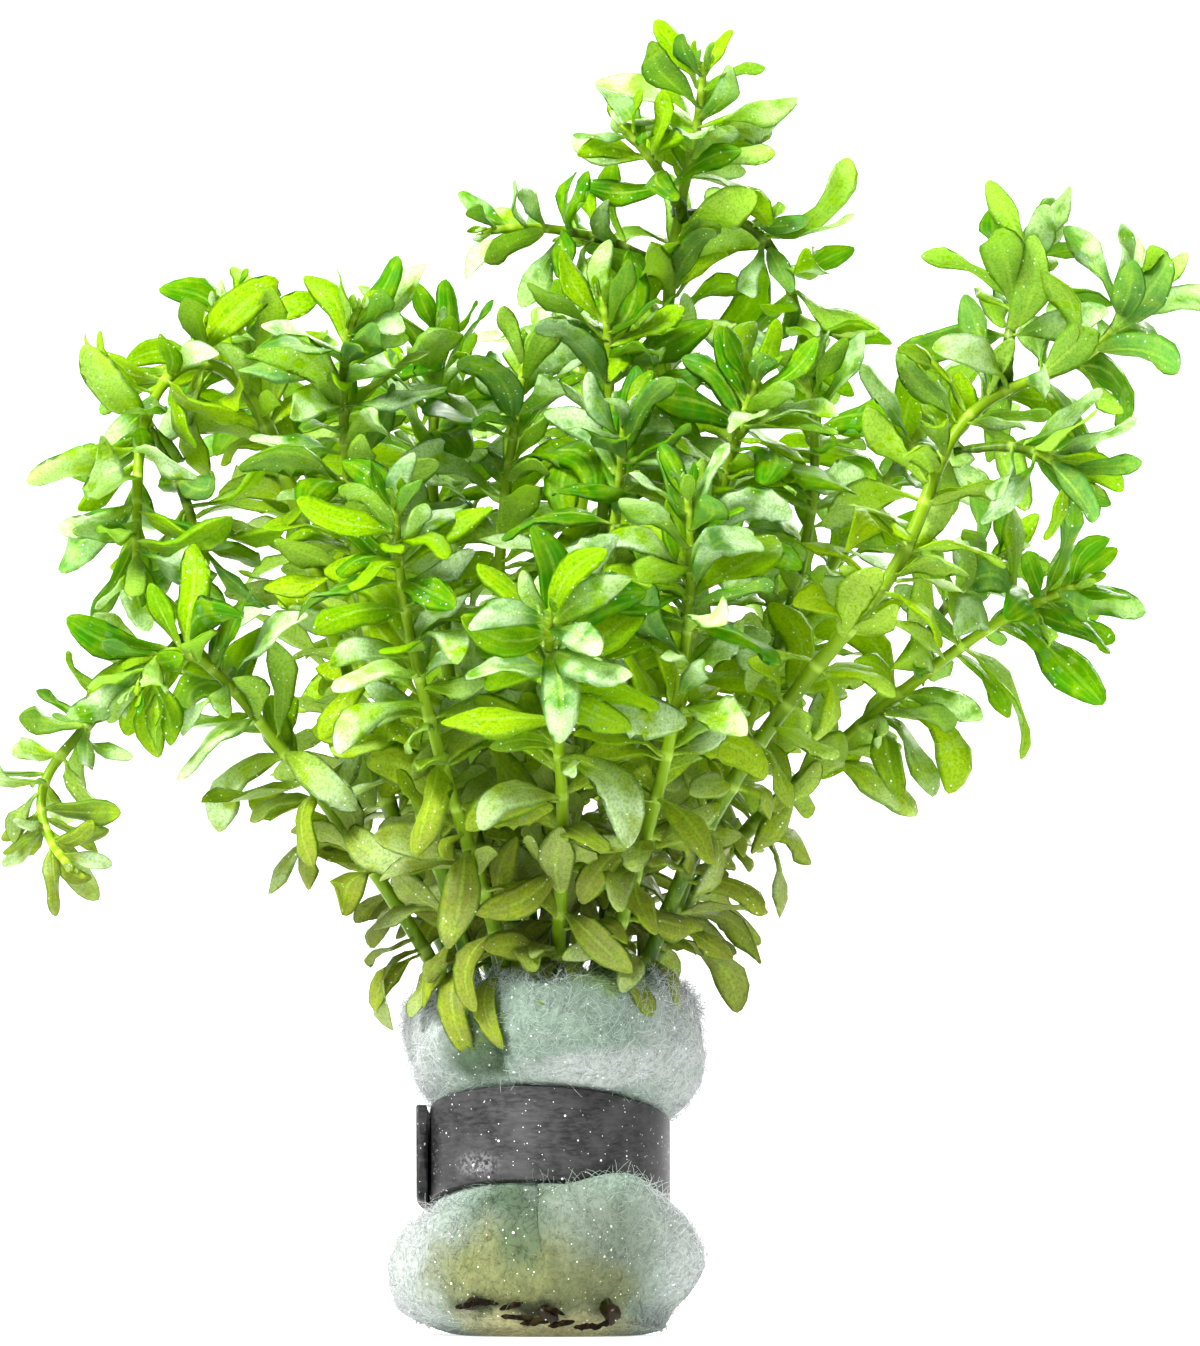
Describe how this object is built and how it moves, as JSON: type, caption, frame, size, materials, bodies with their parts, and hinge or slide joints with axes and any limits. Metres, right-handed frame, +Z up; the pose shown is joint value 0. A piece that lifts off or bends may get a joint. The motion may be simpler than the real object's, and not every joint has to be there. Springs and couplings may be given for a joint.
{
  "type": "bunched aquarium stem plant",
  "caption": "Fan-shaped bunch of small-leaved water hedge stems, rolled in filter wool and held by a bent lead strip, standing on its flat cut foot.",
  "frame": {"origin": "centre of the bunch's flat foot: the middle stem's cut face, level with the flat foot of the wool", "axes": "+Z up the bunch, -Y out of the front seen in the picture, +X to that view's right"},
  "size_m": [0.1632, 0.1125, 0.1753],
  "materials": {
    "foliage": "satin",
    "wool": "matte",
    "lead": "matte"
  },
  "bodies": {
    "root": {"wool_wrap": "wool", "lead_strip": "lead", "stem_left_low": "foliage", "stem_left_arch": "foliage", "stem_left_tall": "foliage", "stem_left_inner": "foliage", "stem_back_left": "foliage", "stem_front_left": "foliage", "stem_middle_left": "foliage", "stem_inner_back": "foliage", "stem_inner_front": "foliage", "stem_front": "foliage", "stem_middle": "foliage", "stem_back": "foliage", "stem_tall": "foliage", "stem_right_inner": "foliage", "stem_right_middle": "foliage", "stem_back_right": "foliage", "stem_right_high": "foliage", "stem_right_low": "foliage", "stem_front_right": "foliage", "shoot_left_tip": "foliage", "shoot_tall_left": "foliage", "shoot_tall_right": "foliage", "shoot_tall_front": "foliage", "shoot_right_high": "foliage", "shoot_right_front": "foliage", "shoot_right_low": "foliage", "shoot_left_arch": "foliage"}
  },
  "joints": []
}
